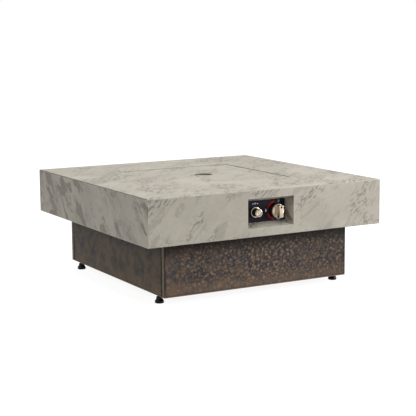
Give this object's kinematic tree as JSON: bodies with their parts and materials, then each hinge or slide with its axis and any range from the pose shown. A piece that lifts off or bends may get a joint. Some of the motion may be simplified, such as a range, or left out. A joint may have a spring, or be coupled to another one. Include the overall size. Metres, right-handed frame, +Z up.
{
  "type": "gas fire pit table",
  "caption": "Low square fire pit table: cast concrete top with a lift-off lid over a gas burner, control pocket in its edge, folded-steel base on levelling feet.",
  "frame": {"origin": "on the floor, under the middle of the table", "axes": "+Z up, -Y towards the front edge with the control pocket, +X to the right as seen from the front"},
  "size_m": [0.914, 0.914, 0.372],
  "materials": {
    "concrete": "matte",
    "patina_steel": "satin",
    "stainless": "satin",
    "chrome": "polished",
    "black_plastic": "gloss",
    "black_foot": "gloss",
    "black_paint": "satin",
    "frame_steel": "matte",
    "zinc_steel": "satin",
    "brass": "satin",
    "copper": "satin",
    "ceramic": "satin",
    "lava": "matte",
    "rubber": "matte",
    "braided_hose": "satin",
    "battery": "gloss"
  },
  "bodies": {
    "table": {"table_top": "concrete", "front_panel": "patina_steel", "back_panel": "patina_steel", "left_panel": "patina_steel", "right_panel": "patina_steel", "fire_pan": "stainless", "burner_ring": "stainless", "burner_nut": "stainless", "pilot_bracket": "stainless", "heat_shield": "stainless", "igniter_nut": "chrome", "knob_bezel": "black_plastic", "igniter_body": "black_plastic", "foot_lock_nuts": "black_foot", "control_plate": "black_paint", "corner_posts": "frame_steel", "top_rails": "frame_steel", "plate_screws": "zinc_steel", "valve_screws": "zinc_steel", "igniter_spring": "zinc_steel", "panel_screws": "zinc_steel", "deck_bolts": "zinc_steel", "foot_weld_nuts": "zinc_steel", "shield_spacers": "zinc_steel", "gas_valve": "brass", "burner_injector": "brass", "inlet_fitting": "brass", "inlet_nut": "brass", "thermocouple": "copper", "thermocouple_lead": "copper", "spark_electrode": "ceramic", "lava_rocks": "lava", "supply_hose": "rubber", "ignition_lead": "rubber", "feed_hose": "braided_hose", "igniter_battery": "battery"},
    "lid": {"burner_lid": "concrete", "lid_pads": "rubber"},
    "valve_plug": {"valve_plug": "brass", "valve_spring": "zinc_steel"},
    "gas_knob": {"valve_stem": "zinc_steel", "knob_skirt": "black_plastic", "knob_cap": "chrome"},
    "igniter_button": {"igniter_button": "chrome"},
    "foot_front_left": {"foot_pad_front_left": "black_foot", "foot_stud_front_left": "zinc_steel"},
    "foot_front_right": {"foot_pad_front_right": "black_foot", "foot_stud_front_right": "zinc_steel"},
    "foot_back_left": {"foot_pad_back_left": "black_foot", "foot_stud_back_left": "zinc_steel"},
    "foot_back_right": {"foot_pad_back_right": "black_foot", "foot_stud_back_right": "zinc_steel"}
  },
  "joints": [
    {"name": "lid_lift", "type": "slide", "parent": "table", "child": "lid", "axis": [0, 0, 1], "range_m": [0, 0.3]},
    {"name": "knob_turn", "type": "hinge", "parent": "table", "child": "valve_plug", "pos_m": [0.046, -0.392, 0.2905], "axis": [0, -1, 0], "range_deg": [0, 180]},
    {"name": "knob_push", "type": "slide", "parent": "valve_plug", "child": "gas_knob", "axis": [0, 1, 0], "range_m": [0, 0.004], "stiffness_N_per_m": 800, "deforming": ["valve_spring"]},
    {"name": "igniter_press", "type": "slide", "parent": "table", "child": "igniter_button", "axis": [0, 1, 0], "range_m": [0, 0.003], "stiffness_N_per_m": 500, "deforming": ["igniter_spring"]},
    {"name": "foot_front_left_height", "type": "slide", "parent": "table", "child": "foot_front_left", "axis": [0, 0, 1], "range_m": [-0.015, 0]},
    {"name": "foot_front_right_height", "type": "slide", "parent": "table", "child": "foot_front_right", "axis": [0, 0, 1], "range_m": [-0.015, 0]},
    {"name": "foot_back_left_height", "type": "slide", "parent": "table", "child": "foot_back_left", "axis": [0, 0, 1], "range_m": [-0.015, 0]},
    {"name": "foot_back_right_height", "type": "slide", "parent": "table", "child": "foot_back_right", "axis": [0, 0, 1], "range_m": [-0.015, 0]}
  ]
}
